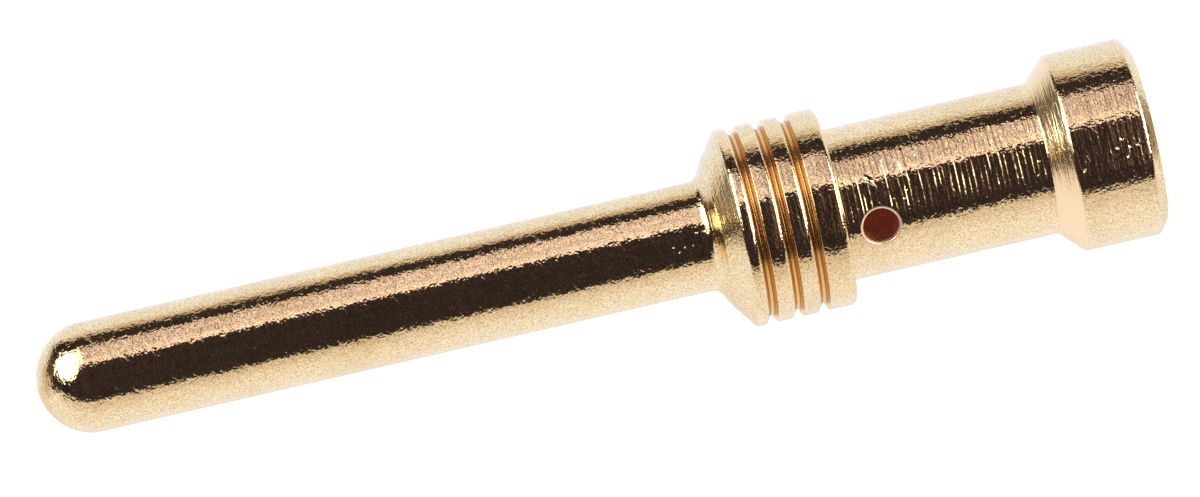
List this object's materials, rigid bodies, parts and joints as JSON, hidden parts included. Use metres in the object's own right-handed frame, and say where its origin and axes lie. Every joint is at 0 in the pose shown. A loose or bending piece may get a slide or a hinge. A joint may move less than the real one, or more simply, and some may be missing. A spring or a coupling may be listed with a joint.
{
  "type": "crimp pin contact",
  "caption": "Turned crimp contact with a plain round pin, a ring-grooved collar and a hollow rear barrel that is crimped onto a stripped wire.",
  "frame": {"origin": "centre of the annular rear end face, which the contact stands on", "axes": "+Z along the axis from the wire bore's mouth towards the pin's tip, -Y out of the inspection hole"},
  "size_m": [0.0044, 0.0044, 0.0254],
  "materials": {
    "gold_plating": "bright gold plating over turned metal, with fine turning marks"
  },
  "bodies": {
    "root": {"pin_contact": "gold_plating"}
  },
  "joints": []
}
